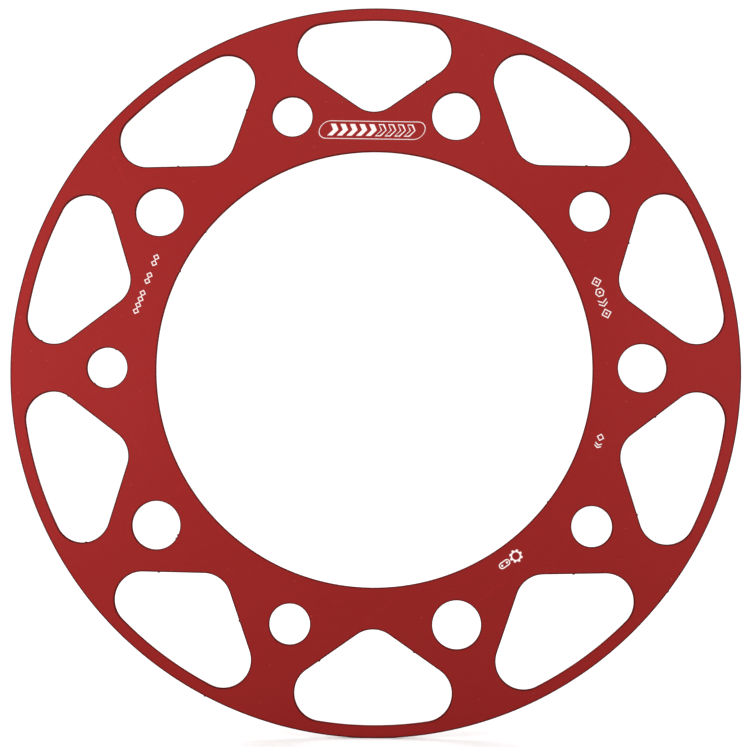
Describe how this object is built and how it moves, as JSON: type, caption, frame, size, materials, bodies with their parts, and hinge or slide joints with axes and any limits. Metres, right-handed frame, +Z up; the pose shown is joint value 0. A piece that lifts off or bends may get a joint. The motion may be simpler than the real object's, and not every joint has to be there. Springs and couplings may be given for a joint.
{
  "type": "sprocket cover disc",
  "caption": "Flat red anodised aluminium cover disc for a motorcycle rear sprocket, with a large bore, a ring of rounded triangular windows and larger and smaller bolt holes on a shared circle.",
  "frame": {"origin": "centre of the bore on the back face, the face that lies against the sprocket", "axes": "Y is the disc's axis: +Y points out of the back face, into the sprocket, and the marked front face looks along -Y. +Z is up and +X is to the right as the front face is seen. A large bolt hole lies on +X and a small one on -X"},
  "size_m": [0.1885, 0.001, 0.1884],
  "materials": {
    "red_anodised": "satin red anodised"
  },
  "bodies": {
    "root": {"cover_disc": "red_anodised"}
  },
  "joints": []
}
